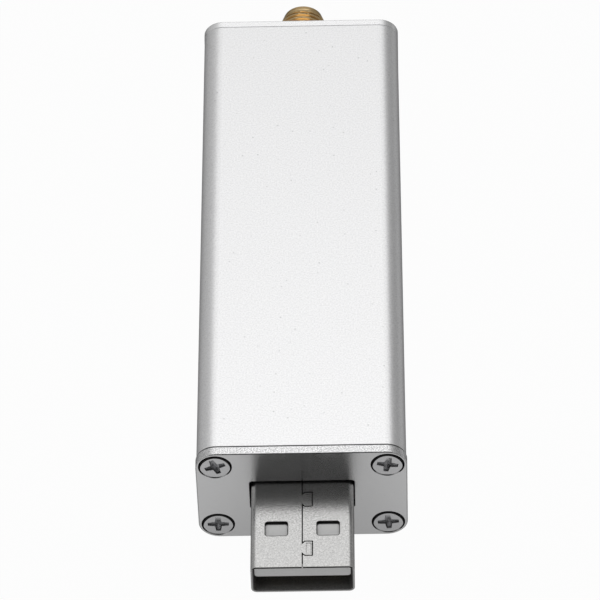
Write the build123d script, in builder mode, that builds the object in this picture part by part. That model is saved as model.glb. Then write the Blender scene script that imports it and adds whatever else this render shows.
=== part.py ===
from build123d import *
import os
from math import radians, tan

# Pocket spectrum analyzer: an extruded aluminium sleeve closed by two screwed end plates,
# with a USB type A plug at the front and a threaded coaxial RF jack at the rear.
#
# Millimetres. X points right, Y from the plug to the jack, Z up. The origin lies on the
# surface that the end plates' lower edges stand on, in the middle of the overall box.

# ---------------------------------------------------------------------------------------
# Driving dimensions
# ---------------------------------------------------------------------------------------

# Extruded sleeve
body_width = 24.5
body_height = 14.9
body_length = 69.6
body_corner_radius = 2.4
body_wall = 1.2
body_front_break = 0.18
screw_boss_radius = 1.75

# End plates
front_plate_overhang = 0.1
rear_plate_overhang = 0.04
front_plate_thickness = 1.1
rear_plate_thickness = 1.0
plate_edge_break = 0.08

# Countersunk plate screws, M2
screw_inset = 2.2
screw_shank_radius = 1.0
screw_head_radius = 1.82
screw_head_recess = 0.03
screw_rim_height = 0.15
screw_rim_break = 0.04
screw_countersink_angle = 90.0
screw_length = 6.0
screw_tip_taper = 0.3
screw_thread_fit = 0.02
screw_lead_in = 0.15
cross_span = 2.5
cross_root_width = 0.95
cross_tip_width = 0.55
cross_depth = 0.9
cross_taper = 12.0

# Circuit board, held by its long edges between the sleeve's rails
board_thickness = 1.6
board_edge_gap = 0.2
board_slot_gap = 0.1
rail_depth = 0.8
rail_thickness = 0.8

# USB type A plug: rolled shell with its seam on top
plug_exposed = 12.6
plug_length = 18.8
plug_width = 12.0
plug_height = 4.6
plug_sheet = 0.3
plug_corner_radius = 0.7
plug_side_shift = 0.05
plug_hole_gap = 0.2
plug_hole_rise = 0.1
plug_hole_corner_radius = 0.4
seam_gap = 0.15
dovetail_starts = (1.66, 8.98)
dovetail_length = 2.1
dovetail_neck = 1.5
dovetail_flare = 0.28
dovetail_reach = 1.17
stake_width = 0.6
stake_length = 1.6
stake_depth = 0.05
window_width = 2.6
window_length = 2.07
window_corner_radius = 0.32
window_start = 4.63
window_spacing = 6.0

# USB tongue, contacts and the pegs that hold the shell to the board
tongue_thickness = 1.72
tongue_recess = 0.3
tongue_side_gap = 0.15
tongue_seat_gap = 0.04
insulator_block_start = 11.4
power_contact_spacing = 7.0
data_contact_spacing = 2.0
contact_width = 1.0
contact_thickness = 0.25
contact_bury = 0.15
power_contact_start = 1.4
data_contact_start = 2.4
contact_tail_length = 1.6
board_plug_gap = 0.3
peg_width = 1.4
peg_setback = 0.7
peg_rise = 1.6
peg_lower_reach = 0.7
peg_hole_gap = 0.15
solder_fillet = 0.35

# Coaxial RF jack, edge mounted: the board sits between its legs
jack_projection = 7.65
jack_thread_radius = 3.15
jack_tip_radius = 2.5
jack_lead_length = 2.0
jack_relief_radius = 2.75
jack_relief_length = 0.3
jack_bore_radius = 2.3
jack_bore_depth = 1.93
jack_dielectric_radius = 2.05
jack_contact_radius = 0.635
jack_socket_radius = 0.47
jack_socket_depth = 2.9
jack_slot_width = 0.16
jack_slot_depth = 1.8
jack_insert_fit = 0.01
jack_flange_size = 6.35
jack_flange_thickness = 1.6
jack_leg_size = 1.0
jack_leg_length = 4.0
jack_pin_radius = 0.38
jack_pin_length = 2.6
jack_hole_gap = 0.15
jack_side_shift = 0.15
solder_gap = 0.02

# Shield can over the RF stages
shield_length = 17.0
shield_side_margin = 1.6
shield_height = 2.8
shield_sheet = 0.2
shield_lip = 0.8
shield_jack_gap = 1.2
shield_lid_drop = 1.3
shield_lid_gap = 0.05
shield_slit_width = 0.3
shield_slit_pitch = 3.0

# Spacing on the board
edge_margin = 0.6
row_gap = 0.7
underside_margin = 2.0

# Chip packages with gull-wing leads
microcontroller_size = 7.0
microcontroller_height = 1.4
microcontroller_pitch = 0.5
microcontroller_leads_per_side = 12
microcontroller_reach = 1.0
detector_size = 3.0
detector_height = 1.0
detector_pitch = 0.65
detector_leads_per_side = 4
detector_reach = 0.95
regulator_width = 1.6
regulator_length = 2.9
regulator_height = 1.1
regulator_pitch = 0.95
regulator_leads_per_side = 3
regulator_reach = 0.6
lead_width = 0.22
lead_thickness = 0.15
package_standoff = 0.1
pin_one_radius = 0.25
pin_one_depth = 0.08

# Leadless chips, cans and passive parts
synthesizer_size = 5.0
mixer_size = 4.0
attenuator_size = 4.0
flat_chip_height = 0.85
oscillator_width = 3.2
oscillator_length = 5.0
oscillator_height = 1.5
crystal_width = 2.5
crystal_length = 3.2
crystal_height = 0.8
filter_width = 3.8
filter_length = 3.8
filter_height = 1.2
can_lid_inset = 0.25
can_lid_height = 0.15
inductor_size = 3.0
inductor_height = 1.2
inductor_core_radius = 1.1
chip_length = 1.6
chip_width = 0.8
capacitor_height = 0.8
resistor_height = 0.45
chip_terminal = 0.3
tantalum_length = 3.2
tantalum_width = 1.6
tantalum_height = 1.6

# ---------------------------------------------------------------------------------------
# Places worked out from the driving dimensions
# ---------------------------------------------------------------------------------------

mid_z = body_height / 2 + front_plate_overhang

overall_length = (plug_exposed + front_plate_thickness + body_length
                  + rear_plate_thickness + jack_projection)
plug_tip_y = -overall_length / 2
front_face_y = plug_tip_y + plug_exposed
body_front_y = front_face_y + front_plate_thickness
body_rear_y = body_front_y + body_length
rear_face_y = body_rear_y + rear_plate_thickness
jack_tip_y = rear_face_y + jack_projection

inner_width = body_width - 2 * body_wall
inner_height = body_height - 2 * body_wall
inner_corner_radius = max(body_corner_radius - body_wall, 0.2)
screw_spacing_x = body_width - 2 * screw_inset
screw_spacing_z = body_height - 2 * screw_inset
screw_hole_radius = screw_shank_radius + screw_thread_fit
countersink_slope = tan(radians(screw_countersink_angle / 2))
screw_cone_depth = (screw_head_radius - screw_shank_radius) / countersink_slope
screw_rim_depth = screw_head_recess + screw_rim_height
countersink_depth = screw_rim_depth + screw_cone_depth
countersink_radius = screw_head_radius + screw_rim_depth * countersink_slope
thinnest_plate = min(front_plate_thickness, rear_plate_thickness)
boss_lead_in = max(countersink_depth - thinnest_plate, 0) * countersink_slope + screw_lead_in

board_top = mid_z - jack_pin_radius - solder_gap
board_bottom = board_top - board_thickness
board_width = inner_width - 2 * board_edge_gap
plug_rear_y = plug_tip_y + plug_length
board_front_y = plug_rear_y + board_plug_gap
flange_inner_y = body_rear_y - jack_flange_thickness
board_rear_y = flange_inner_y - board_slot_gap
board_mid_y = (board_front_y + board_rear_y) / 2

plug_top = mid_z + plug_height / 2
plug_bottom = mid_z - plug_height / 2
plug_inner_width = plug_width - 2 * plug_sheet
plug_inner_height = plug_height - 2 * plug_sheet
plug_inner_radius = max(plug_corner_radius - plug_sheet, 0.1)
tongue_front_y = plug_tip_y + tongue_recess
tongue_top = plug_top - plug_sheet - tongue_seat_gap
tongue_bottom = tongue_top - tongue_thickness
tongue_width = plug_inner_width - 2 * tongue_side_gap
insulator_front_y = plug_tip_y + insulator_block_start
insulator_rear_y = plug_rear_y - contact_thickness
insulator_bottom = plug_bottom + plug_sheet + tongue_seat_gap
contact_top = tongue_bottom + contact_bury
contact_bottom = contact_top - contact_thickness
contact_tail_y = board_front_y + contact_tail_length
peg_front_y = board_front_y + peg_setback
peg_rear_y = peg_front_y + peg_width
peg_x = (plug_width - plug_sheet) / 2
peg_top = board_top + peg_hole_gap + peg_rise

# Room along the board's long edges, clear of the rails, and the rows of parts. The rows
# near the plug are counted from the board's front edge, the RF stages from its rear edge.
right_limit = inner_width / 2 - rail_depth - edge_margin
left_limit = -right_limit
power_row_depth = max(regulator_length, inductor_size, tantalum_length)
microcontroller_span = microcontroller_size + 2 * microcontroller_reach
synthesizer_row_depth = max(synthesizer_size, oscillator_length)
power_row_y = peg_rear_y + peg_hole_gap + row_gap + power_row_depth / 2
logic_row_y = power_row_y + power_row_depth / 2 + row_gap + microcontroller_span / 2
first_chip_row_y = logic_row_y + microcontroller_span / 2 + row_gap + chip_width / 2
synthesizer_row_y = first_chip_row_y + chip_width / 2 + row_gap + synthesizer_row_depth / 2
second_chip_row_y = synthesizer_row_y + synthesizer_row_depth / 2 + row_gap + chip_width / 2
shield_rear_y = board_rear_y - jack_leg_length - shield_jack_gap
shield_mid_y = shield_rear_y - shield_length / 2
shield_width = board_width - 2 * shield_side_margin
stage_pitch_x = shield_width / 3
stage_pitch_y = shield_length / 3

os.makedirs("parts", exist_ok=True)


def save(part, name):
    """Label a finished piece and write it as a STEP file of the same name."""
    part.label = name
    export_step(part, f"parts/{name}.step")


def section(y):
    """Plane across the device at y, centred on its axis and facing the front.

    Its local axes are X and Z. Extruding by a negative amount goes towards the rear."""
    return Plane(origin=(0, y, mid_z), x_dir=(1, 0, 0), z_dir=(0, -1, 0))


def rear_section(y):
    """The same plane facing the rear: extruding by a negative amount goes forwards."""
    return Plane(origin=(0, y, mid_z), x_dir=(-1, 0, 0), z_dir=(0, 1, 0))


def plate_outline(overhang):
    """The sleeve's outline, wider all round by the overhang."""
    RectangleRounded(body_width + 2 * overhang, body_height + 2 * overhang,
                     body_corner_radius + overhang)


def even_row(count, limit, y):
    """Places spread evenly across the board at y, from -limit to +limit."""
    return [(-limit + 2 * limit * index / (count - 1), y) for index in range(count)]


# ---------------------------------------------------------------------------------------
# Sleeve
# ---------------------------------------------------------------------------------------

# One extrusion: outer skin, four screw bosses in its corners, and two rails on each side
# wall with the board between them. Its front rim is broken, which leaves a fine groove
# around the device where the front plate meets it.
rail_x = inner_width / 2 + body_wall / 4 - rail_depth / 2
upper_rail_z = board_top + board_slot_gap + rail_thickness / 2 - mid_z
lower_rail_z = board_bottom - board_slot_gap - rail_thickness / 2 - mid_z

with BuildPart() as housing:
    with BuildSketch(section(body_front_y)):
        RectangleRounded(body_width, body_height, body_corner_radius)
        RectangleRounded(inner_width, inner_height, inner_corner_radius, mode=Mode.SUBTRACT)
        with GridLocations(screw_spacing_x, screw_spacing_z, 2, 2):
            Circle(screw_boss_radius)
        for side in (-1, 1):
            with Locations((side * rail_x, upper_rail_z), (side * rail_x, lower_rail_z)):
                Rectangle(rail_depth + body_wall / 2, rail_thickness)
        with GridLocations(screw_spacing_x, screw_spacing_z, 2, 2):
            Circle(screw_hole_radius, mode=Mode.SUBTRACT)
    extrude(amount=-body_length)
    front_end = housing.faces().sort_by(Axis.Y)[0]
    chamfer(front_end.outer_wire().edges(), body_front_break)
    hole_rims = housing.edges().filter_by(GeomType.CIRCLE)
    hole_rims = hole_rims.filter_by(lambda rim: abs(rim.radius - screw_hole_radius) < 1e-4)
    chamfer(hole_rims, boss_lead_in)
save(housing.part, "housing")


# ---------------------------------------------------------------------------------------
# End plates and their screws
# ---------------------------------------------------------------------------------------

# Flat aluminium, a little wider than the sleeve all round, with an opening for the plug.
with BuildPart() as front_plate:
    with BuildSketch(section(front_face_y)):
        plate_outline(front_plate_overhang)
    extrude(amount=-front_plate_thickness)
    chamfer(front_plate.edges().group_by(Axis.Y)[0], plate_edge_break)
    with BuildSketch(section(front_face_y)):
        with Locations((0, plug_hole_rise)):
            RectangleRounded(plug_width + 2 * plug_hole_gap, plug_height + 2 * plug_hole_gap,
                             plug_hole_corner_radius)
    extrude(amount=-front_plate_thickness, mode=Mode.SUBTRACT)
    with Locations(section(front_face_y)):
        with GridLocations(screw_spacing_x, screw_spacing_z, 2, 2):
            CounterSinkHole(screw_hole_radius, countersink_radius,
                            counter_sink_angle=screw_countersink_angle)
save(front_plate.part, "front_plate")

# The same outline at the rear, with a round hole that the jack's barrel passes through.
with BuildPart() as rear_plate:
    with BuildSketch(rear_section(rear_face_y)):
        plate_outline(rear_plate_overhang)
    extrude(amount=-rear_plate_thickness)
    chamfer(rear_plate.edges().group_by(Axis.Y)[-1], plate_edge_break)
    with Locations(rear_section(rear_face_y)):
        with Locations((-jack_side_shift, 0)):
            Hole(jack_thread_radius + jack_hole_gap)
        with GridLocations(screw_spacing_x, screw_spacing_z, 2, 2):
            CounterSinkHole(screw_hole_radius, countersink_radius,
                            counter_sink_angle=screw_countersink_angle)
save(rear_plate.part, "rear_plate")

# One countersunk screw along Z, its head sunk below the plate face at Z = 0.
head_top = -screw_head_recess
with BuildPart() as screw:
    with BuildSketch(Plane.XZ):
        with BuildLine():
            Polyline((0, head_top), (screw_head_radius - screw_rim_break, head_top),
                     (screw_head_radius, head_top - screw_rim_break),
                     (screw_head_radius, -screw_rim_depth),
                     (screw_shank_radius, -countersink_depth),
                     (screw_shank_radius, screw_tip_taper - screw_length),
                     (screw_shank_radius - screw_tip_taper, -screw_length),
                     (0, -screw_length), close=True)
        make_face()
    revolve(axis=Axis.Z)
    with BuildSketch(Plane.XY.offset(head_top)):
        with PolarLocations(0, 2, angular_range=180):
            Polygon((-cross_span / 2, -cross_tip_width / 2), (0, -cross_root_width / 2),
                    (cross_span / 2, -cross_tip_width / 2), (cross_span / 2, cross_tip_width / 2),
                    (0, cross_root_width / 2), (-cross_span / 2, cross_tip_width / 2))
    extrude(amount=-cross_depth, taper=cross_taper, mode=Mode.SUBTRACT)


def screw_set(plane, turns):
    """Four screws at the plate's corners, each left at its own turn of the driver."""
    with BuildPart() as group:
        for side_x, side_z, turn in turns:
            place = (side_x * screw_spacing_x / 2, side_z * screw_spacing_z / 2)
            with Locations(plane):
                with Locations(place):
                    add(screw.part, rotation=(0, 0, turn))
    return group.part


save(screw_set(section(front_face_y), [(-1, 1, 20), (1, 1, -10), (-1, -1, 0), (1, -1, 4)]),
     "front_plate_screws")
save(screw_set(rear_section(rear_face_y), [(-1, 1, 8), (1, 1, 35), (-1, -1, -15), (1, -1, 0)]),
     "rear_plate_screws")


# ---------------------------------------------------------------------------------------
# Circuit board
# ---------------------------------------------------------------------------------------

with BuildPart() as circuit_board:
    with BuildSketch(Plane.XY.offset(board_bottom)):
        with Locations((0, board_mid_y)):
            Rectangle(board_width, board_rear_y - board_front_y)
        with Locations((plug_side_shift, (peg_front_y + peg_rear_y) / 2)):
            with GridLocations(2 * peg_x, 0, 2, 1):
                Rectangle(plug_sheet + 2 * peg_hole_gap, peg_width + 2 * peg_hole_gap,
                          mode=Mode.SUBTRACT)
    extrude(amount=board_thickness)
save(circuit_board.part, "circuit_board")


# ---------------------------------------------------------------------------------------
# USB plug
# ---------------------------------------------------------------------------------------

# The seam runs back along the top, out around each dovetail and on.
seam_points = [(plug_side_shift, plug_tip_y - plug_sheet)]
neck_inset = (dovetail_length - dovetail_neck) / 2
for start in dovetail_starts:
    near_y = plug_tip_y + start
    far_y = near_y + dovetail_length
    seam_points += [(plug_side_shift, near_y + neck_inset),
                    (plug_side_shift + dovetail_flare, near_y),
                    (plug_side_shift + dovetail_reach, near_y),
                    (plug_side_shift + dovetail_reach, far_y),
                    (plug_side_shift + dovetail_flare, far_y),
                    (plug_side_shift, far_y - neck_inset)]
seam_points.append((plug_side_shift, plug_rear_y + plug_sheet))
stake_x = plug_side_shift + (dovetail_flare + dovetail_reach) / 2
stake_places = [(stake_x, plug_tip_y + start + dovetail_length / 2) for start in dovetail_starts]

# Sheet steel folded into a tube, with two latch windows in the top and the bottom and a
# peg at each side of its rear end that goes down through the board. Each dovetail is
# staked by a shallow punch mark.
with BuildPart() as usb_shell:
    with BuildSketch(section(plug_tip_y)):
        with Locations((plug_side_shift, 0)):
            RectangleRounded(plug_width, plug_height, plug_corner_radius)
            RectangleRounded(plug_inner_width, plug_inner_height, plug_inner_radius,
                             mode=Mode.SUBTRACT)
    extrude(amount=-plug_length)
    window_mid_y = plug_tip_y + window_start + window_length / 2
    for face_z, inward in ((plug_top, -plug_sheet), (plug_bottom, plug_sheet)):
        with BuildSketch(Plane.XY.offset(face_z)):
            with Locations((plug_side_shift, window_mid_y)):
                with GridLocations(window_spacing, 0, 2, 1):
                    RectangleRounded(window_width, window_length, window_corner_radius)
        extrude(amount=inward, mode=Mode.SUBTRACT)
    with BuildSketch(Plane.XY.offset(plug_top)):
        with BuildLine():
            Polyline(*seam_points)
        trace(line_width=seam_gap)
    extrude(amount=-plug_sheet, mode=Mode.SUBTRACT)
    with BuildSketch(Plane.XY.offset(plug_top)):
        with Locations(*stake_places):
            Rectangle(stake_width, stake_length)
    extrude(amount=-stake_depth, taper=45, mode=Mode.SUBTRACT)
    for side in (-1, 1):
        wall_x = plug_side_shift + side * peg_x
        with BuildSketch(Plane.YZ.offset(wall_x)):
            with BuildLine():
                Polyline((plug_rear_y - plug_sheet, board_top + peg_hole_gap),
                         (peg_front_y, board_top + peg_hole_gap),
                         (peg_front_y, board_bottom - peg_lower_reach),
                         (peg_rear_y, board_bottom - peg_lower_reach),
                         (peg_rear_y, peg_top),
                         (plug_rear_y - plug_sheet, peg_top), close=True)
            make_face()
        extrude(amount=plug_sheet / 2, both=True)
save(usb_shell.part, "usb_shell")


def contact_strips(spacing, start):
    """Two flat contacts under the tongue, stepped down to tails on the board."""
    with BuildPart() as strips:
        for side in (-1, 1):
            with BuildSketch(Plane.YZ.offset(plug_side_shift + side * spacing / 2)):
                with BuildLine():
                    Polyline((plug_tip_y + start, contact_bottom),
                             (plug_tip_y + start, contact_top),
                             (plug_rear_y, contact_top),
                             (plug_rear_y, board_top + contact_thickness),
                             (contact_tail_y, board_top + contact_thickness),
                             (contact_tail_y, board_top),
                             (insulator_rear_y, board_top),
                             (insulator_rear_y, contact_bottom), close=True)
                make_face()
            extrude(amount=contact_width / 2, both=True)
    return strips.part


power_contacts = contact_strips(power_contact_spacing, power_contact_start)
data_contacts = contact_strips(data_contact_spacing, data_contact_start)
save(power_contacts, "usb_power_contacts")
save(data_contacts, "usb_data_contacts")

# Moulded tongue under the shell's top and the block behind it, with a channel for each
# contact.
with BuildPart() as usb_insulator:
    with BuildSketch(section(tongue_front_y)):
        with Locations((plug_side_shift, tongue_top - tongue_thickness / 2 - mid_z)):
            RectangleRounded(tongue_width, tongue_thickness, plug_inner_radius)
    extrude(amount=tongue_front_y - insulator_rear_y)
    with BuildSketch(section(insulator_front_y)):
        with Locations((plug_side_shift, (tongue_top + insulator_bottom) / 2 - mid_z)):
            RectangleRounded(tongue_width, tongue_top - insulator_bottom, plug_inner_radius)
    extrude(amount=insulator_front_y - insulator_rear_y)
    add(power_contacts, mode=Mode.SUBTRACT)
    add(data_contacts, mode=Mode.SUBTRACT)
save(usb_insulator.part, "usb_insulator")

# Solder around each peg under the board, and a wedge at the end of each contact's tail.
with BuildPart() as usb_solder_joints:
    with BuildSketch(Plane.XY.offset(board_bottom)):
        with Locations((plug_side_shift, (peg_front_y + peg_rear_y) / 2)):
            with GridLocations(2 * peg_x, 0, 2, 1):
                Rectangle(plug_sheet + 2 * (peg_hole_gap + solder_fillet),
                          peg_width + 2 * (peg_hole_gap + solder_fillet))
    extrude(amount=-solder_fillet, taper=45)
    add(usb_shell.part, mode=Mode.SUBTRACT)
    for spacing in (power_contact_spacing, data_contact_spacing):
        for side in (-1, 1):
            with BuildSketch(Plane.YZ.offset(plug_side_shift + side * spacing / 2)):
                with BuildLine():
                    Polyline((contact_tail_y, board_top),
                             (contact_tail_y, board_top + contact_thickness),
                             (contact_tail_y + solder_fillet, board_top), close=True)
                make_face()
            extrude(amount=contact_width / 2, both=True)
save(usb_solder_joints.part, "usb_solder_joints")


# ---------------------------------------------------------------------------------------
# RF jack
# ---------------------------------------------------------------------------------------

jack_plane = Plane(origin=(jack_side_shift, 0, mid_z), x_dir=(1, 0, 0), z_dir=(0, 0, 1))
jack_axis = Axis((jack_side_shift, 0, mid_z), (0, 1, 0))
jack_seat_y = jack_tip_y - jack_bore_depth
leg_x = (jack_flange_size - jack_leg_size) / 2
upper_leg_z = board_top + solder_gap + jack_leg_size / 2
lower_leg_z = board_bottom - solder_gap - jack_leg_size / 2

# Turned barrel at its thread's outer diameter, with a relief where it passes the plate, a
# square flange behind the plate, and four legs that straddle the board.
with BuildPart() as rf_jack_body:
    with BuildSketch(jack_plane):
        with BuildLine():
            Polyline((jack_dielectric_radius, flange_inner_y),
                     (jack_relief_radius, flange_inner_y),
                     (jack_relief_radius, rear_face_y + jack_relief_length),
                     (jack_thread_radius, rear_face_y + jack_relief_length),
                     (jack_thread_radius, jack_tip_y - jack_lead_length),
                     (jack_tip_radius, jack_tip_y),
                     (jack_bore_radius, jack_tip_y),
                     (jack_bore_radius, jack_seat_y),
                     (jack_dielectric_radius, jack_seat_y), close=True)
        make_face()
    revolve(axis=jack_axis)
    with BuildSketch(section(flange_inner_y)):
        with Locations((jack_side_shift, 0)):
            Rectangle(jack_flange_size, jack_flange_size)
            Circle(jack_dielectric_radius, mode=Mode.SUBTRACT)
    extrude(amount=-jack_flange_thickness)
    with BuildSketch(section(flange_inner_y)):
        for leg_z in (upper_leg_z, lower_leg_z):
            with Locations((jack_side_shift, leg_z - mid_z)):
                with GridLocations(2 * leg_x, 0, 2, 1):
                    Rectangle(jack_leg_size, jack_leg_size)
    extrude(amount=jack_leg_length)
save(rf_jack_body.part, "rf_jack_body")

with BuildPart() as rf_jack_dielectric:
    with BuildSketch(section(flange_inner_y)):
        with Locations((jack_side_shift, 0)):
            Circle(jack_dielectric_radius - jack_insert_fit)
            Circle(jack_contact_radius + jack_insert_fit, mode=Mode.SUBTRACT)
    extrude(amount=flange_inner_y - jack_seat_y)
save(rf_jack_dielectric.part, "rf_jack_dielectric")

# Centre contact: a slotted socket at the mouth and a thin pin over the board at the back.
with BuildPart() as rf_jack_contact:
    with BuildSketch(rear_section(jack_seat_y)):
        with Locations((-jack_side_shift, 0)):
            Circle(jack_contact_radius)
    extrude(amount=flange_inner_y - jack_seat_y)
    with BuildSketch(section(flange_inner_y)):
        with Locations((jack_side_shift, 0)):
            Circle(jack_pin_radius)
    extrude(amount=jack_pin_length)
    with BuildSketch(rear_section(jack_seat_y)):
        with Locations((-jack_side_shift, 0)):
            Circle(jack_socket_radius)
    extrude(amount=-jack_socket_depth, mode=Mode.SUBTRACT)
    with BuildSketch(rear_section(jack_seat_y)):
        with Locations((-jack_side_shift, 0)):
            Rectangle(2 * jack_contact_radius, jack_slot_width)
            Rectangle(jack_slot_width, 2 * jack_contact_radius)
    extrude(amount=-jack_slot_depth, mode=Mode.SUBTRACT)
save(rf_jack_contact.part, "rf_jack_contact")

# A wedge of solder along the outer side of each leg.
with BuildPart() as rf_jack_solder:
    for side in (-1, 1):
        leg_side_x = jack_side_shift + side * jack_flange_size / 2
        for face_z, rise in ((board_top, solder_fillet), (board_bottom, -solder_fillet)):
            with BuildSketch(section(flange_inner_y - jack_leg_length)):
                with BuildLine():
                    Polyline((leg_side_x, face_z - mid_z),
                             (leg_side_x + side * solder_fillet, face_z - mid_z),
                             (leg_side_x, face_z + rise - mid_z), close=True)
                make_face()
            extrude(amount=board_slot_gap - jack_leg_length)
save(rf_jack_solder.part, "rf_jack_solder")


# ---------------------------------------------------------------------------------------
# Shield can
# ---------------------------------------------------------------------------------------

shield_top = board_top + shield_height
lid_width = shield_width + 2 * (shield_lid_gap + shield_sheet)
lid_length = shield_length + 2 * (shield_lid_gap + shield_sheet)

# Four soldered walls with a lip turned in along the top.
with BuildPart() as shield_frame:
    with BuildSketch(Plane.XY.offset(board_top)):
        with Locations((0, shield_mid_y)):
            Rectangle(shield_width, shield_length)
            Rectangle(shield_width - 2 * shield_sheet, shield_length - 2 * shield_sheet,
                      mode=Mode.SUBTRACT)
    extrude(amount=shield_height)
    with BuildSketch(Plane.XY.offset(shield_top)):
        with Locations((0, shield_mid_y)):
            Rectangle(shield_width, shield_length)
            Rectangle(shield_width - 2 * shield_lip, shield_length - 2 * shield_lip,
                      mode=Mode.SUBTRACT)
    extrude(amount=-shield_sheet)
save(shield_frame.part, "shield_frame")

# The lid clips over the frame. Slits cut its skirt into spring fingers.
with BuildPart() as shield_lid:
    with BuildSketch(Plane.XY.offset(shield_top)):
        with Locations((0, shield_mid_y)):
            Rectangle(lid_width, lid_length)
    extrude(amount=shield_sheet)
    with BuildSketch(Plane.XY.offset(shield_top)):
        with Locations((0, shield_mid_y)):
            Rectangle(lid_width, lid_length)
            Rectangle(lid_width - 2 * shield_sheet, lid_length - 2 * shield_sheet,
                      mode=Mode.SUBTRACT)
    extrude(amount=-shield_lid_drop)
    with BuildSketch(Plane.XY.offset(shield_top - shield_lid_drop)):
        with Locations((0, shield_mid_y)):
            slit_rows = int((shield_length - shield_slit_pitch) / shield_slit_pitch)
            with GridLocations(0, shield_slit_pitch, 1, slit_rows):
                Rectangle(lid_width, shield_slit_width)
            slit_columns = int((shield_width - shield_slit_pitch) / shield_slit_pitch)
            with GridLocations(shield_slit_pitch, 0, slit_columns, 1):
                Rectangle(shield_slit_width, lid_length)
    extrude(amount=shield_lid_drop - shield_sheet, mode=Mode.SUBTRACT)
save(shield_lid.part, "shield_lid")


# ---------------------------------------------------------------------------------------
# Chips with gull-wing leads
# ---------------------------------------------------------------------------------------

def moulded_body(width, length, height, standoff):
    """Moulded package over the origin, with a round dimple beside its first lead."""
    mark_x = pin_one_radius * 2 - width / 2
    mark_y = length / 2 - pin_one_radius * 2
    with BuildPart() as body:
        with BuildSketch(Plane.XY.offset(standoff)):
            Rectangle(width, length)
        extrude(amount=height)
        with BuildSketch(Plane.XY.offset(standoff + height)):
            with Locations((mark_x, mark_y)):
                Circle(pin_one_radius)
        extrude(amount=-pin_one_depth, mode=Mode.SUBTRACT)
    return body.part


def gull_wing_leads(width, height, reach, pitch, leads_per_side, sides):
    """Leads that leave a package's sides at half height and step down to the board."""
    middle = package_standoff + height / 2
    with BuildPart() as lead:
        with BuildSketch(Plane.XZ):
            with BuildLine():
                Polyline((0, middle + lead_thickness / 2),
                         (reach / 3, middle + lead_thickness / 2),
                         (reach / 2 + lead_thickness / 2, lead_thickness),
                         (reach, lead_thickness),
                         (reach, 0),
                         (reach / 2, 0),
                         (reach / 3 - lead_thickness / 2, middle - lead_thickness / 2),
                         (0, middle - lead_thickness / 2), close=True)
            make_face()
        extrude(amount=lead_width / 2, both=True)
    with BuildPart() as leads:
        with PolarLocations(width / 2, sides):
            with GridLocations(0, pitch, 1, leads_per_side):
                add(lead.part)
    return leads.part


def on_board(part, places):
    """Copies of a part made over the origin, set on the board's top at each place."""
    with BuildPart() as group:
        with Locations(Plane.XY.offset(board_top)):
            with Locations(*places):
                add(part)
    return group.part


logic_place = [(left_limit + microcontroller_span / 2, logic_row_y)]
save(on_board(moulded_body(microcontroller_size, microcontroller_size,
                           microcontroller_height, package_standoff), logic_place),
     "microcontroller")
save(on_board(gull_wing_leads(microcontroller_size, microcontroller_height,
                              microcontroller_reach, microcontroller_pitch,
                              microcontroller_leads_per_side, 4), logic_place),
     "microcontroller_leads")

detector_place = [(-stage_pitch_x, shield_mid_y - stage_pitch_y)]
save(on_board(moulded_body(detector_size, detector_size, detector_height,
                           package_standoff), detector_place),
     "log_detector")
save(on_board(gull_wing_leads(detector_size, detector_height, detector_reach,
                              detector_pitch, detector_leads_per_side, 2), detector_place),
     "log_detector_leads")

# The power row has four places: two regulators, the inductor and a tantalum capacitor.
power_limit = right_limit - regulator_width / 2 - regulator_reach
power_places = even_row(4, power_limit, power_row_y)
save(on_board(moulded_body(regulator_width, regulator_length, regulator_height,
                           package_standoff), power_places[:2]),
     "voltage_regulators")
save(on_board(gull_wing_leads(regulator_width, regulator_height, regulator_reach,
                              regulator_pitch, regulator_leads_per_side, 2),
              power_places[:2]),
     "voltage_regulator_leads")


# ---------------------------------------------------------------------------------------
# Leadless chips and metal-lidded cans
# ---------------------------------------------------------------------------------------

first_synthesizer_x = left_limit + synthesizer_size / 2
oscillator_x = right_limit - oscillator_width / 2
second_synthesizer_x = (first_synthesizer_x + synthesizer_size / 2
                        + oscillator_x - oscillator_width / 2) / 2
flat_chips = (
    ("first_synthesizer", synthesizer_size, (first_synthesizer_x, synthesizer_row_y)),
    ("second_synthesizer", synthesizer_size, (second_synthesizer_x, synthesizer_row_y)),
    ("input_attenuator", attenuator_size, (0, shield_mid_y + stage_pitch_y)),
    ("mixer", mixer_size, (-stage_pitch_x, shield_mid_y)),
)
for name, size, place in flat_chips:
    save(on_board(moulded_body(size, size, flat_chip_height, 0), [place]), name)


def lidded_can(width, length, height):
    """Ceramic base with a slightly smaller metal lid welded on top."""
    with BuildPart() as can:
        with BuildSketch(Plane.XY):
            Rectangle(width, length)
        extrude(amount=height - can_lid_height)
        with BuildSketch(Plane.XY.offset(height - can_lid_height)):
            Rectangle(width - 2 * can_lid_inset, length - 2 * can_lid_inset)
        extrude(amount=can_lid_height)
    return can.part


crystal_x = right_limit - crystal_width / 2
cans = (
    ("reference_oscillator", oscillator_width, oscillator_length, oscillator_height,
     (oscillator_x, synthesizer_row_y)),
    ("clock_crystal", crystal_width, crystal_length, crystal_height,
     (crystal_x, logic_row_y)),
    ("first_filter", filter_width, filter_length, filter_height, (0, shield_mid_y)),
    ("second_filter", filter_width, filter_length, filter_height,
     (stage_pitch_x, shield_mid_y)),
)
for name, width, length, height, place in cans:
    save(on_board(lidded_can(width, length, height), [place]), name)


# ---------------------------------------------------------------------------------------
# Passive parts
# ---------------------------------------------------------------------------------------

with BuildPart() as inductor:
    with BuildSketch(Plane.XY):
        Rectangle(inductor_size, inductor_size)
    extrude(amount=inductor_height)
    with BuildSketch(Plane.XY.offset(inductor_height)):
        Circle(inductor_core_radius)
    extrude(amount=-can_lid_height, mode=Mode.SUBTRACT)
save(on_board(inductor.part, power_places[2:3]), "power_inductor")


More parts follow.
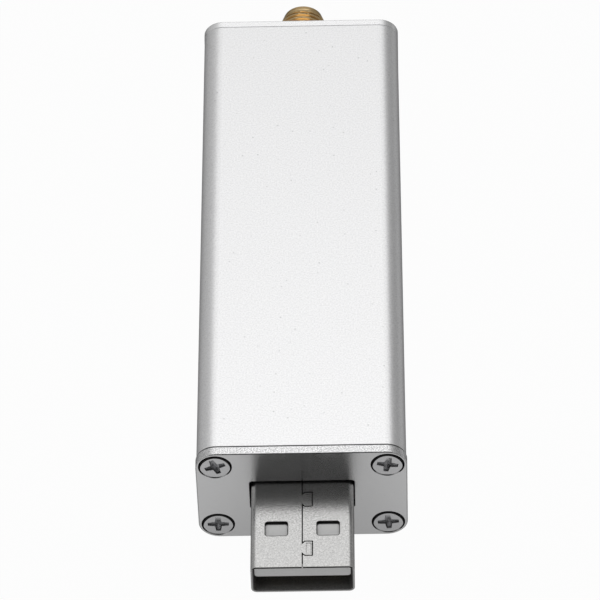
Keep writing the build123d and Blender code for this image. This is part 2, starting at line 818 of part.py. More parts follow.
def chip_middle(length, width, height, terminal):
    """The part of a two-terminal chip between its end caps, lying along X."""
    with BuildPart() as middle:
        with BuildSketch(Plane.XY):
            Rectangle(length - 2 * terminal, width)
        extrude(amount=height)
    return middle.part


def chip_ends(length, width, height, terminal):
    """The two plated end caps of a chip that lies along X."""
    with BuildPart() as ends:
        with BuildSketch(Plane.XY):
            with GridLocations(length - terminal, 0, 2, 1):
                Rectangle(terminal, width)
        extrude(amount=height)
    return ends.part


def on_both_faces(part, top_places, bottom_places):
    """Copies on the board's top and, turned over, on its underside."""
    with BuildPart() as group:
        with Locations(Plane.XY.offset(board_top)):
            with Locations(*top_places):
                add(part)
        with Locations(Plane.XY.offset(board_bottom)):
            with Locations(*bottom_places):
                add(part, rotation=(180, 0, 0))
    return group.part


chip_limit = right_limit - chip_length / 2
under_limit = inner_width / 2 - body_wall - underside_margin - chip_length
first_chips = even_row(6, chip_limit, first_chip_row_y)
second_chips = even_row(6, chip_limit, second_chip_row_y)
stage_chips = [(stage_pitch_x, shield_mid_y - stage_pitch_y),
               (0, shield_mid_y - stage_pitch_y),
               (stage_pitch_x, shield_mid_y + stage_pitch_y),
               (-stage_pitch_x, shield_mid_y + stage_pitch_y)]
crystal_chips = [(crystal_x, logic_row_y + side * (crystal_length / 2 + row_gap + chip_width))
                 for side in (-1, 1)]
under_chips = []
for row_y in (logic_row_y, synthesizer_row_y, shield_mid_y):
    under_chips += even_row(5, under_limit, row_y)

capacitor_top = first_chips[::2] + second_chips[::2] + stage_chips[:2] + crystal_chips
resistor_top = first_chips[1::2] + second_chips[1::2] + stage_chips[2:]
capacitor_size = (chip_length, chip_width, capacitor_height, chip_terminal)
resistor_size = (chip_length, chip_width, resistor_height, chip_terminal)
chip_groups = (
    ("ceramic_capacitors", chip_middle, capacitor_size, capacitor_top, under_chips[::2]),
    ("ceramic_capacitor_ends", chip_ends, capacitor_size, capacitor_top, under_chips[::2]),
    ("chip_resistors", chip_middle, resistor_size, resistor_top, under_chips[1::2]),
    ("chip_resistor_ends", chip_ends, resistor_size, resistor_top, under_chips[1::2]),
)
for name, shape, size, top_places, bottom_places in chip_groups:
    save(on_both_faces(shape(*size), top_places, bottom_places), name)

# The tantalum capacitor lies along Y at the end of the power row.
with BuildPart() as tantalum:
    with Locations(Rotation(0, 0, 90)):
        add(chip_middle(tantalum_length, tantalum_width, tantalum_height, chip_terminal))
with BuildPart() as tantalum_ends:
    with Locations(Rotation(0, 0, 90)):
        add(chip_ends(tantalum_length, tantalum_width, tantalum_height, chip_terminal))
save(on_board(tantalum.part, power_places[3:]), "tantalum_capacitor")
save(on_board(tantalum_ends.part, power_places[3:]), "tantalum_capacitor_ends")
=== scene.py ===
import math

import bmesh
import bpy
from mathutils import Matrix, Vector


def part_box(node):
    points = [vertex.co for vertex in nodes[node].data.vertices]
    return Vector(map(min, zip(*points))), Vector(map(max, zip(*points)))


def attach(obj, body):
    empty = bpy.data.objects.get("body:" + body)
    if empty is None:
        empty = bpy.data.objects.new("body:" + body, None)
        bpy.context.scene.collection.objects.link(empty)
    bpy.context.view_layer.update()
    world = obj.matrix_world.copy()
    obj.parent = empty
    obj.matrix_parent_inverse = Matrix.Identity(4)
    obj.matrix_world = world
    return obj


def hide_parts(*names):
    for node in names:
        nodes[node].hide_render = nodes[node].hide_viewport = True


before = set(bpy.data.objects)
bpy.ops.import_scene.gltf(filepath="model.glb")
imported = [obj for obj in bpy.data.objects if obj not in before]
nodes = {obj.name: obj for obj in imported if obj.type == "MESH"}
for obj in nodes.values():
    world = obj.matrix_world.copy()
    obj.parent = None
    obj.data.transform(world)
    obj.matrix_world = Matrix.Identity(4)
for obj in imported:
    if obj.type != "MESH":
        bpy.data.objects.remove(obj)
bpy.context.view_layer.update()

# ---------------------------------------------------------------------------------------
# Camera
# ---------------------------------------------------------------------------------------
# A long lens looks down on the device from over its plug, a touch to one side.

CAMERA_TARGET = Vector((-0.00028, -0.002127, 0.00700))
CAMERA_DISTANCE = 0.54826
CAMERA_PITCH = math.radians(47.968)
CAMERA_YAW = math.radians(-1.512)
CAMERA_ROLL = math.radians(2.038)
CAMERA_LENS = 269.6
CAMERA_SENSOR = 36.0
CAMERA_NEAR = 0.01

look = Vector((math.sin(CAMERA_YAW) * math.cos(CAMERA_PITCH),
               math.cos(CAMERA_YAW) * math.cos(CAMERA_PITCH),
               -math.sin(CAMERA_PITCH)))
level = Vector((math.cos(CAMERA_YAW), -math.sin(CAMERA_YAW), 0.0))
upright = level.cross(look)
camera_right = level * math.cos(CAMERA_ROLL) - upright * math.sin(CAMERA_ROLL)
camera_up = level * math.sin(CAMERA_ROLL) + upright * math.cos(CAMERA_ROLL)

camera_data = bpy.data.cameras.new("camera")
camera_data.lens = CAMERA_LENS
camera_data.sensor_width = CAMERA_SENSOR
camera_data.clip_start = CAMERA_NEAR
camera = bpy.data.objects.new("camera", camera_data)
camera.location = CAMERA_TARGET - look * CAMERA_DISTANCE
camera.rotation_euler = Matrix((camera_right, camera_up, -look)).transposed().to_euler()
bpy.context.scene.collection.objects.link(camera)
bpy.context.scene.camera = camera
bpy.context.scene.view_settings.view_transform = "Standard"

# ---------------------------------------------------------------------------------------
# Studio
# ---------------------------------------------------------------------------------------
# A paper floor under a tent of cloth. The tent is brightest high at the back, grey at both
# sides and dark at the front. The camera sees both as plain white, while metal reflects
# mostly their greys. A soft lamp low at the front lights the matt pieces and the floor only.

FLOOR_RADIUS = 6.0
FLOOR_SIDES = 96
FLOOR_TONE = (0.42, 0.42, 0.42, 1.0)
FLOOR_CAMERA_SHARE, TENT_CAMERA_SHARE = 0.97, 1.0
FLOOR_GLOSS_SHARE, TENT_GLOSS_SHARE = 0.262, 0.005
BACK_START, BACK_END = 0.60, 0.86
BACK_LOW, BACK_HIGH = 0.61, 1.46
SIDE_BLEND = 0.1
LEFT_GREY, RIGHT_GREY = 0.48, 0.315
LEFT_START, LEFT_END = 0.32, 0.68
RIGHT_START, RIGHT_END = 0.30, 0.58
OPENING_DARK = 0.02
OPENING_RIM, OPENING_CORE = 0.80, 0.93
OPENING_ELEVATION = math.radians(48.0)
FILL_DISTANCE = 0.75
FILL_ELEVATION = math.radians(17.0)
FILL_WIDTH, FILL_HEIGHT = 0.40, 0.12
FILL_WATTS = 0.9


def combine(tree, operation, first, second):
    """One maths step on two sockets or plain values."""
    node = tree.nodes.new("ShaderNodeMath")
    node.operation = operation
    for index, value in enumerate((first, second)):
        if isinstance(value, float):
            node.inputs[index].default_value = value
        else:
            tree.links.new(value, node.inputs[index])
    return node.outputs[0]


def share_of_white(tree, camera_share, gloss_share):
    """How much plain white a ray sees: the camera's rays most, reflections a little."""
    path = tree.nodes.new("ShaderNodeLightPath")
    mirrored = combine(tree, "MAXIMUM", path.outputs["Is Glossy Ray"],
                       path.outputs["Is Transmission Ray"])
    return combine(tree, "ADD",
                   combine(tree, "MULTIPLY", path.outputs["Is Camera Ray"], camera_share),
                   combine(tree, "MULTIPLY", mirrored, gloss_share))


def ramp(tree, value, start, end, low=0.0, high=1.0):
    """A smooth change from low to high while the value goes from start to end."""
    node = tree.nodes.new("ShaderNodeMapRange")
    node.interpolation_type = "SMOOTHSTEP"
    node.inputs["From Min"].default_value = start
    node.inputs["From Max"].default_value = end
    node.inputs["To Min"].default_value = low
    node.inputs["To Max"].default_value = high
    tree.links.new(value, node.inputs["Value"])
    return node.outputs["Result"]


def blend(tree, factor, first, second):
    """A mix of two numbers, each a socket or a plain value."""
    node = tree.nodes.new("ShaderNodeMix")
    tree.links.new(factor, node.inputs["Factor"])
    for name, value in (("A", first), ("B", second)):
        if isinstance(value, float):
            node.inputs[name].default_value = value
        else:
            tree.links.new(value, node.inputs[name])
    return node.outputs["Result"]


paper = bpy.data.materials.new("studio_paper")
paper.use_nodes = True
tree = paper.node_tree
tree.nodes.clear()
paper_output = tree.nodes.new("ShaderNodeOutputMaterial")
paper_diffuse = tree.nodes.new("ShaderNodeBsdfDiffuse")
paper_diffuse.inputs["Color"].default_value = FLOOR_TONE
paper_white = tree.nodes.new("ShaderNodeEmission")
paper_mix = tree.nodes.new("ShaderNodeMixShader")
tree.links.new(share_of_white(tree, FLOOR_CAMERA_SHARE, FLOOR_GLOSS_SHARE), paper_mix.inputs[0])
tree.links.new(paper_diffuse.outputs[0], paper_mix.inputs[1])
tree.links.new(paper_white.outputs[0], paper_mix.inputs[2])
tree.links.new(paper_mix.outputs[0], paper_output.inputs["Surface"])

floor_mesh = bpy.data.meshes.new("floor")
floor_rim = [(FLOOR_RADIUS * math.cos(step * math.tau / FLOOR_SIDES),
              FLOOR_RADIUS * math.sin(step * math.tau / FLOOR_SIDES), 0.0)
             for step in range(FLOOR_SIDES)]
floor_mesh.from_pydata(floor_rim, [], [tuple(range(FLOOR_SIDES))])
floor_mesh.materials.append(paper)
floor = bpy.data.objects.new("floor", floor_mesh)
bpy.context.scene.collection.objects.link(floor)

tent = bpy.data.worlds.new("tent")
tent.use_nodes = True
bpy.context.scene.world = tent
tree = tent.node_tree
tree.nodes.clear()
tent_output = tree.nodes.new("ShaderNodeOutputWorld")
direction = tree.nodes.new("ShaderNodeTexCoord").outputs["Generated"]
axes = tree.nodes.new("ShaderNodeSeparateXYZ")
tree.links.new(direction, axes.inputs[0])
back_wall = ramp(tree, axes.outputs["Z"], BACK_START, BACK_END, BACK_LOW, BACK_HIGH)
to_the_right = ramp(tree, axes.outputs["X"], -SIDE_BLEND, SIDE_BLEND)
side_wall = blend(tree, to_the_right, LEFT_GREY, RIGHT_GREY)
sideways = combine(tree, "ABSOLUTE", axes.outputs["X"], 0.0)
off_the_back = blend(tree, to_the_right, ramp(tree, sideways, LEFT_START, LEFT_END),
                     ramp(tree, sideways, RIGHT_START, RIGHT_END))
cloth = blend(tree, off_the_back, back_wall, side_wall)
towards_opening = tree.nodes.new("ShaderNodeVectorMath")
towards_opening.operation = "DOT_PRODUCT"
tree.links.new(direction, towards_opening.inputs[0])
towards_opening.inputs[1].default_value = (0.0, -math.cos(OPENING_ELEVATION),
                                           math.sin(OPENING_ELEVATION))
in_opening = ramp(tree, towards_opening.outputs["Value"], OPENING_RIM, OPENING_CORE)
opened = blend(tree, in_opening, cloth, OPENING_DARK)
tent_light = tree.nodes.new("ShaderNodeBackground")
tree.links.new(opened, tent_light.inputs["Color"])
tent_white = tree.nodes.new("ShaderNodeBackground")
tent_white.inputs["Color"].default_value = (1.0, 1.0, 1.0, 1.0)
tent_mix = tree.nodes.new("ShaderNodeMixShader")
tree.links.new(share_of_white(tree, TENT_CAMERA_SHARE, TENT_GLOSS_SHARE), tent_mix.inputs[0])
tree.links.new(tent_light.outputs[0], tent_mix.inputs[1])
tree.links.new(tent_white.outputs[0], tent_mix.inputs[2])
tree.links.new(tent_mix.outputs[0], tent_output.inputs["Surface"])

fill_data = bpy.data.lights.new("fill", "AREA")
fill_data.shape = "RECTANGLE"
fill_data.size = FILL_WIDTH
fill_data.size_y = FILL_HEIGHT
fill_data.energy = FILL_WATTS
fill = bpy.data.objects.new("fill", fill_data)
fill.location = (0.0, -FILL_DISTANCE * math.cos(FILL_ELEVATION),
                 FILL_DISTANCE * math.sin(FILL_ELEVATION))
fill.rotation_euler = (math.pi / 2 - FILL_ELEVATION, 0.0, 0.0)
fill.visible_glossy = False
bpy.context.scene.collection.objects.link(fill)

# ---------------------------------------------------------------------------------------
# Sleeve
# ---------------------------------------------------------------------------------------
# The case is one aluminium extrusion, sawn to length, bead-blasted all over and clear
# anodised. Its skin is a fine even grain with a scatter of tiny pits. Its front rim carries
# a painted shade, a dark line for the shadow in the joint.

SLEEVE_TONE = (0.95, 0.95, 0.955, 1.0)
SLEEVE_ROUGHNESS = 0.34
SLEEVE_GRAIN_PER_METRE = 5200.0
SLEEVE_PITS_PER_METRE = 620.0
SLEEVE_PIT_REACH = 0.11
SLEEVE_GRAIN_DEPTH = 0.000010
SLEEVE_GRAIN_CONTRAST = 0.16
GRAIN_DETAIL, GRAIN_COARSENESS = 2.0, 0.6
SPECKLE_START, SPECKLE_END = 0.32, 0.68
PIT_SHADE = 0.70
JOINT_PAINTED_SHADE = 0.12
JOINT_PAINTED_SHADE_START, JOINT_PAINTED_SHADE_END = 0.00024, 0.00030
GRAZING_TINT = (0.28, 0.28, 0.28, 1.0)


def build_blasted_grain():
    """The blasted skin as a group: a height, and a shade that is darker in its pits."""
    group = bpy.data.node_groups.new("blasted_grain", "ShaderNodeTree")
    sockets = group.interface
    for name in ("Grain Scale", "Pit Scale", "Pit Reach", "Contrast"):
        sockets.new_socket(name, in_out="INPUT", socket_type="NodeSocketFloat")
    sockets.new_socket("Height", in_out="OUTPUT", socket_type="NodeSocketFloat")
    sockets.new_socket("Shade", in_out="OUTPUT", socket_type="NodeSocketFloat")
    given = group.nodes.new("NodeGroupInput")
    result = group.nodes.new("NodeGroupOutput")
    place = group.nodes.new("ShaderNodeTexCoord").outputs["Object"]

    grain = group.nodes.new("ShaderNodeTexNoise")
    grain.inputs["Detail"].default_value = GRAIN_DETAIL
    grain.inputs["Roughness"].default_value = GRAIN_COARSENESS
    group.links.new(place, grain.inputs["Vector"])
    group.links.new(given.outputs["Grain Scale"], grain.inputs["Scale"])

    pits = group.nodes.new("ShaderNodeTexVoronoi")
    group.links.new(place, pits.inputs["Vector"])
    group.links.new(given.outputs["Pit Scale"], pits.inputs["Scale"])
    pit_floor = group.nodes.new("ShaderNodeMapRange")
    pit_floor.interpolation_type = "SMOOTHSTEP"
    group.links.new(pits.outputs["Distance"], pit_floor.inputs["Value"])
    group.links.new(given.outputs["Pit Reach"], pit_floor.inputs["From Max"])

    group.links.new(combine(group, "MULTIPLY", grain.outputs["Fac"], pit_floor.outputs["Result"]),
                    result.inputs["Height"])

    speckle = group.nodes.new("ShaderNodeMapRange")
    speckle.inputs["From Min"].default_value = SPECKLE_START
    speckle.inputs["From Max"].default_value = SPECKLE_END
    group.links.new(grain.outputs["Fac"], speckle.inputs["Value"])
    group.links.new(combine(group, "SUBTRACT", 1.0, given.outputs["Contrast"]),
                    speckle.inputs["To Min"])
    pit_shade = group.nodes.new("ShaderNodeMapRange")
    pit_shade.inputs["To Min"].default_value = PIT_SHADE
    group.links.new(pit_floor.outputs["Result"], pit_shade.inputs["Value"])
    group.links.new(combine(group, "MULTIPLY", speckle.outputs["Result"],
                            pit_shade.outputs["Result"]), result.inputs["Shade"])
    return group


blasted_grain = build_blasted_grain()


def blasted_metal(name, tone, roughness, grain, pits, pit_reach, depth, contrast):
    """Bare metal under the blasted skin."""
    material = bpy.data.materials.new(name)
    material.use_nodes = True
    tree = material.node_tree
    shader = tree.nodes["Principled BSDF"]
    shader.inputs["Metallic"].default_value = 1.0
    shader.inputs["Roughness"].default_value = roughness
    skin = tree.nodes.new("ShaderNodeGroup")
    skin.node_tree = blasted_grain
    skin.inputs["Grain Scale"].default_value = grain
    skin.inputs["Pit Scale"].default_value = pits
    skin.inputs["Pit Reach"].default_value = pit_reach
    skin.inputs["Contrast"].default_value = contrast
    colour = tree.nodes.new("ShaderNodeMix")
    colour.data_type = "RGBA"
    colour.inputs["A"].default_value = (0.0, 0.0, 0.0, 1.0)
    colour.inputs["B"].default_value = tone
    tree.links.new(skin.outputs["Shade"], colour.inputs["Factor"])
    tree.links.new(colour.outputs["Result"], shader.inputs["Base Color"])
    bump = tree.nodes.new("ShaderNodeBump")
    bump.inputs["Distance"].default_value = depth
    tree.links.new(skin.outputs["Height"], bump.inputs["Height"])
    tree.links.new(bump.outputs["Normal"], shader.inputs["Normal"])
    return material


def axis_from(tree, axis, start, towards):
    """How far a point lies from a place on an axis, in the direction towards."""
    axes = tree.nodes.new("ShaderNodeSeparateXYZ")
    tree.links.new(tree.nodes.new("ShaderNodeTexCoord").outputs["Object"], axes.inputs[0])
    distance = tree.nodes.new("ShaderNodeMath")
    distance.operation = "MULTIPLY_ADD"
    tree.links.new(axes.outputs[axis], distance.inputs[0])
    distance.inputs[1].default_value = towards
    distance.inputs[2].default_value = -towards * start
    return distance.outputs[0]


def paint_shade_where(material, mask, shade):
    """Paints shade: multiplies the base colour by a darker value where the mask is one."""
    tree = material.node_tree
    base = tree.nodes["Principled BSDF"].inputs["Base Color"]
    shaded_colour = tree.nodes.new("ShaderNodeMix")
    shaded_colour.data_type = "RGBA"
    shaded_colour.blend_type = "MULTIPLY"
    shaded_colour.inputs["B"].default_value = (shade, shade, shade, 1.0)
    tree.links.new(mask, shaded_colour.inputs["Factor"])
    tree.links.new(base.links[0].from_socket, shaded_colour.inputs["A"])
    tree.links.new(shaded_colour.outputs["Result"], base)


def finish(node, material):
    """Gives a CAD node its material."""
    for slot in nodes[node].material_slots:
        slot.material = material


def darken_grazing(material):
    """Makes a satin metal reflect less where it is seen edge-on."""
    shader = material.node_tree.nodes["Principled BSDF"]
    shader.inputs["Specular Tint"].default_value = GRAZING_TINT


sleeve_metal = blasted_metal("blasted_sleeve", SLEEVE_TONE, SLEEVE_ROUGHNESS,
                             SLEEVE_GRAIN_PER_METRE, SLEEVE_PITS_PER_METRE,
                             SLEEVE_PIT_REACH, SLEEVE_GRAIN_DEPTH, SLEEVE_GRAIN_CONTRAST)
tree = sleeve_metal.node_tree
# Painted shade: a dark band on the front rim, for the shadow in the joint with the front plate.
behind_front = axis_from(tree, "Y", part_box("housing")[0][1], 1.0)
paint_shade_where(sleeve_metal, ramp(tree, behind_front, JOINT_PAINTED_SHADE_START, JOINT_PAINTED_SHADE_END, 1.0, 0.0),
           JOINT_PAINTED_SHADE)
darken_grazing(sleeve_metal)
finish("housing", sleeve_metal)

# ---------------------------------------------------------------------------------------
# End plates
# ---------------------------------------------------------------------------------------
# Both plates are punched from aluminium sheet about 1 mm thick and blasted finer than the
# sleeve. Four screws hold each. Painted shade darkens their face edges, the rear plate's
# back edge and the holes, less on the holes' lowest walls. The rear plate's lighter tone
# is painted light.

# Both plates are the same aluminium: the rear plate's lighter tone and fainter rim speckle are
# painted light, for the brighter light on its rim.
FRONT_PLATE_TONE = (0.94, 0.94, 0.945, 1.0)
REAR_PLATE_LIT_TONE = (0.98, 0.98, 0.985, 1.0)
PLATE_ROUGHNESS = 0.26
PLATE_GRAIN_PER_METRE = 6500.0
PLATE_PITS_PER_METRE = 900.0
PLATE_PIT_REACH = 0.09
PLATE_GRAIN_DEPTH = 0.000008
PLATE_CORNER = 0.0025
PLATE_FACE_CONTRAST = 0.05
FRONT_RIM_CONTRAST, REAR_RIM_CONTRAST = 0.50, 0.06
PLATE_FACE_BUMP, PLATE_RIM_BUMP = 0.30, 1.0
REAR_EDGE_PAINTED_SHADE = 0.75
REAR_EDGE_PAINTED_START, REAR_EDGE_PAINTED_END = 0.00014, 0.00022
PLATE_RIM_DEPTH = 0.00005
PLATE_RIM_WIDTH = 0.00015
EDGE_LINE_PAINTED_SHADE = 0.30
EDGE_LINE_PAINTED_WIDTH = 0.00018
HOLE_PAINTED_SHADE = 0.03
HOLE_PAINTED_SHADE_START, HOLE_PAINTED_SHADE_END = 0.00001, 0.00003
COUNTERSINK_LIT_START, COUNTERSINK_LIT_END = 0.0012, 0.00156
COUNTERSINK_LIT_SHARE = 0.25
SCREW_OFFSET_X, SCREW_OFFSET_Z = 0.01005, 0.00525


def depth_in_outline(tree, offsets, half_sizes, corner):
    """How far a point lies inside a rounded rectangle, given its offsets from the middle."""
    past = [combine(tree, "SUBTRACT", combine(tree, "ABSOLUTE", offset, 0.0), half_size - corner)
            for offset, half_size in zip(offsets, half_sizes)]
    round_part = [combine(tree, "POWER", combine(tree, "MAXIMUM", value, 0.0), 2.0)
                  for value in past]
    reach = combine(tree, "SQRT", combine(tree, "ADD", *round_part), 0.0)
    flat_part = combine(tree, "MINIMUM", combine(tree, "MAXIMUM", *past), 0.0)
    return combine(tree, "SUBTRACT", corner, combine(tree, "ADD", reach, flat_part))


def depth_in_tube(tree, low, high, corner):
    """How far a point lies inside the skin of a tube along Y with rounded corners."""
    return depth_in_outline(tree, [axis_from(tree, axis, (low[index] + high[index]) / 2, 1.0)
                                   for axis, index in (("X", 0), ("Z", 2))],
                            [(high[index] - low[index]) / 2 for index in (0, 2)], corner)


for node, outer_corner, inward, tone, rim_contrast in (
        ("front_plate", 0, 1.0, FRONT_PLATE_TONE, FRONT_RIM_CONTRAST),
        ("rear_plate", 1, -1.0, REAR_PLATE_LIT_TONE, REAR_RIM_CONTRAST)):
    low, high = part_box(node)
    plate_metal = blasted_metal("blasted_" + node, tone, PLATE_ROUGHNESS,
                                PLATE_GRAIN_PER_METRE, PLATE_PITS_PER_METRE,
                                PLATE_PIT_REACH, PLATE_GRAIN_DEPTH, PLATE_FACE_CONTRAST)
    tree = plate_metal.node_tree
    behind_face = axis_from(tree, "Y", (low, high)[outer_corner][1], inward)
    on_rim = ramp(tree, behind_face, 0.0, PLATE_RIM_DEPTH)
    skin = next(item for item in tree.nodes if item.bl_idname == "ShaderNodeGroup")
    tree.links.new(blend(tree, on_rim, PLATE_FACE_CONTRAST, rim_contrast),
                   skin.inputs["Contrast"])
    bump = next(item for item in tree.nodes if item.bl_idname == "ShaderNodeBump")
    tree.links.new(combine(tree, "MULTIPLY", skin.outputs["Height"],
                           blend(tree, on_rim, PLATE_FACE_BUMP, PLATE_RIM_BUMP)),
                   bump.inputs["Height"])
    depth = depth_in_tube(tree, low, high, PLATE_CORNER)
    off_rim = combine(tree, "GREATER_THAN", depth, PLATE_RIM_WIDTH)
    # Painted shade down in the countersinks; their lowest walls, which face up, keep only a share
    # of it as painted light.
    above = axis_from(tree, "Z", (low.z + high.z) / 2, 1.0)
    own_row = combine(tree, "MULTIPLY", SCREW_OFFSET_Z, combine(tree, "SIGN", above, 0.0))
    hole_shade_share = ramp(tree, combine(tree, "SUBTRACT", own_row, above), COUNTERSINK_LIT_START,
                      COUNTERSINK_LIT_END, 1.0, COUNTERSINK_LIT_SHARE)
    in_hole = combine(tree, "MULTIPLY", off_rim,
                      ramp(tree, behind_face, HOLE_PAINTED_SHADE_START, HOLE_PAINTED_SHADE_END))
    paint_shade_where(plate_metal, combine(tree, "MULTIPLY", in_hole, hole_shade_share), HOLE_PAINTED_SHADE)
    # Painted shade: a dark line along each face's edges.
    off_face = combine(tree, "MAXIMUM", on_rim, ramp(tree, depth, 0.0, EDGE_LINE_PAINTED_WIDTH))
    paint_shade_where(plate_metal, combine(tree, "SUBTRACT", 1.0, off_face), EDGE_LINE_PAINTED_SHADE)
    # Painted shade: a dark band near the rear plate's back edge.
    if node == "rear_plate":
        paint_shade_where(plate_metal, ramp(tree, behind_face, REAR_EDGE_PAINTED_START, REAR_EDGE_PAINTED_END, 1.0, 0.0),
                   REAR_EDGE_PAINTED_SHADE)
    darken_grazing(plate_metal)
    finish(node, plate_metal)

# ---------------------------------------------------------------------------------------
# Plate screws
# ---------------------------------------------------------------------------------------
# Four small countersunk cross-head screws hold each plate. They are cold-headed steel
# with a bright plating. The driver's cross carries painted shade by depth, less on its
# floor, and the head's rim a painted shadow that widens towards its top.

SCREW_TONE = (0.84, 0.84, 0.85, 1.0)
SCREW_ROUGHNESS = 0.24
SCREW_GRAIN_PER_METRE = 9000.0
SCREW_PITS_PER_METRE = 1500.0
SCREW_PIT_REACH = 0.06
SCREW_GRAIN_DEPTH = 0.000003
SCREW_GRAIN_CONTRAST = 0.10
SCREW_RADIUS = 0.00182
CROSS_PAINTED_SHADE = 0.35
CROSS_WALL_START, CROSS_WALL_END = 0.00003, 0.00012
CROSS_FLOOR_START, CROSS_FLOOR_END = 0.00020, 0.00040
CROSS_FLOOR_SHARE = 0.05
RIM_PAINTED_SHADE = 0.02
RIM_PAINTED_SHADE_WIDTH = 0.00001
RIM_PAINTED_SHADE_RISE = 0.00028
RIM_RISE_START, RIM_RISE_END = -0.5 * SCREW_RADIUS, 0.7 * SCREW_RADIUS

for node, outer_corner, inward in (("front_plate_screws", 0, 1.0),
                                   ("rear_plate_screws", 1, -1.0)):
    low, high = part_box(node)
    screw_metal = blasted_metal(node + "_plating", SCREW_TONE, SCREW_ROUGHNESS,
                                SCREW_GRAIN_PER_METRE, SCREW_PITS_PER_METRE,
                                SCREW_PIT_REACH, SCREW_GRAIN_DEPTH, SCREW_GRAIN_CONTRAST)
    tree = screw_metal.node_tree
    behind_head = axis_from(tree, "Y", (low, high)[outer_corner][1], inward)
    # Painted shade down the cross's walls, less on its floor.
    down_walls = ramp(tree, behind_head, CROSS_WALL_START, CROSS_WALL_END)
    on_floor = ramp(tree, behind_head, CROSS_FLOOR_START, CROSS_FLOOR_END, 1.0, CROSS_FLOOR_SHARE)
    paint_shade_where(screw_metal, combine(tree, "MULTIPLY", down_walls, on_floor), CROSS_PAINTED_SHADE)
    offsets = []
    for axis, index, offset in (("X", 0, SCREW_OFFSET_X), ("Z", 2, SCREW_OFFSET_Z)):
        from_middle = axis_from(tree, axis, (low[index] + high[index]) / 2, 1.0)
        own_middle = combine(tree, "MULTIPLY", combine(tree, "SIGN", from_middle, 0.0), offset)
        offsets.append(combine(tree, "SUBTRACT", from_middle, own_middle))
    squares = [combine(tree, "MULTIPLY", value, value) for value in offsets]
    radius = combine(tree, "SQRT", combine(tree, "ADD", *squares), 0.0)
    # Painted shadow round the head's rim, wider towards its top.
    upward = ramp(tree, offsets[1], RIM_RISE_START, RIM_RISE_END)
    dark_from = combine(tree, "SUBTRACT", SCREW_RADIUS - RIM_PAINTED_SHADE_WIDTH,
                        combine(tree, "MULTIPLY", upward, RIM_PAINTED_SHADE_RISE))
    paint_shade_where(screw_metal, combine(tree, "GREATER_THAN", radius, dark_from), RIM_PAINTED_SHADE)
    finish(node, screw_metal)

# ---------------------------------------------------------------------------------------
# USB plug
# ---------------------------------------------------------------------------------------
# A sheet steel shell, nickel plated, folded round a grey moulded tongue with gold-flashed
# contacts. The shell's cut edges, window edges and inside carry painted shade, left off the
# mouth's face below its top edge, and the tongue a painted shadow where the shell covers it.

SHELL_TONE = (0.61, 0.607, 0.60, 1.0)
SHELL_ROUGHNESS, SHELL_INSIDE_ROUGHNESS = 0.25, 0.65
SHELL_GRAIN_PER_METRE = 5200.0
SHELL_PITS_PER_METRE = 800.0
SHELL_PIT_REACH = 0.14
SHELL_GRAIN_DEPTH = 0.000007
SHELL_GRAIN_CONTRAST = 0.28
SHELL_HEIGHT = 0.0046
SHELL_CORNER = 0.0007
SHELL_CUT_PAINTED_SHADE, SHELL_INSIDE_PAINTED_SHADE = 0.03, 0.66
SHELL_CUT_START, SHELL_CUT_END = 0.00006, 0.00010
SHELL_INSIDE_START, SHELL_INSIDE_END = 0.00026, 0.00029
MOUTH_START, MOUTH_END = 0.00001, 0.00003
LIT_MOUTH_DEPTH = 0.00021
LIT_MOUTH_TOP_START, LIT_MOUTH_TOP_END = 0.00035, 0.0005
WINDOW_START, WINDOW_LENGTH, WINDOW_WIDTH = 0.00463, 0.00207, 0.0026
WINDOW_OFFSET, WINDOW_CORNER = 0.0030, 0.00032
WINDOW_EDGE = 0.00008
WINDOW_EDGE_PAINTED_SHADE = 0.12
EVEN_GRAIN_DETAIL = 4.0
EVEN_GRAIN_SHADE = 0.86
EVEN_GLOSS_START, EVEN_GLOSS_END = 0.2, 0.8
EVEN_GLOSS_SPREAD = 0.15
MOULDING_TONE = (0.75, 0.75, 0.745, 1.0)
COVERED_PAINTED_SHADOW = 0.04
COVERED_START, COVERED_END = -0.00004, 0.00008
COVERED_SHIFT = 0.00016
MOUTH_LENGTH = 0.0007
CONTACT_GOLD = (0.86, 0.63, 0.28, 1.0)
SOLDER_TONE = (0.74, 0.74, 0.73, 1.0)

shell_low, shell_high = (Vector(corner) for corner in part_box("usb_shell"))
plate_low, plate_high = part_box("front_plate")
shell_low.z = (plate_low[2] + plate_high[2] - SHELL_HEIGHT) / 2
shell_high.z = (plate_low[2] + plate_high[2] + SHELL_HEIGHT) / 2


def depth_in_window(tree, shift=0.0):
    """How far a point lies inside the nearer latch window, shifted towards the plug's tip."""
    from_middle = axis_from(tree, "X", (shell_low.x + shell_high.x) / 2, 1.0)
    across = combine(tree, "SUBTRACT", combine(tree, "ABSOLUTE", from_middle, 0.0), WINDOW_OFFSET)
    along = axis_from(tree, "Y", shell_low.y + WINDOW_START + WINDOW_LENGTH / 2 - shift, 1.0)
    return depth_in_outline(tree, (across, along), (WINDOW_WIDTH / 2, WINDOW_LENGTH / 2),
                            WINDOW_CORNER)


shell_metal = blasted_metal("nickel_shell", SHELL_TONE, SHELL_ROUGHNESS,
                            SHELL_GRAIN_PER_METRE, SHELL_PITS_PER_METRE,
                            SHELL_PIT_REACH, SHELL_GRAIN_DEPTH, SHELL_GRAIN_CONTRAST)
tree = shell_metal.node_tree
depth = depth_in_tube(tree, shell_low, shell_high, SHELL_CORNER)
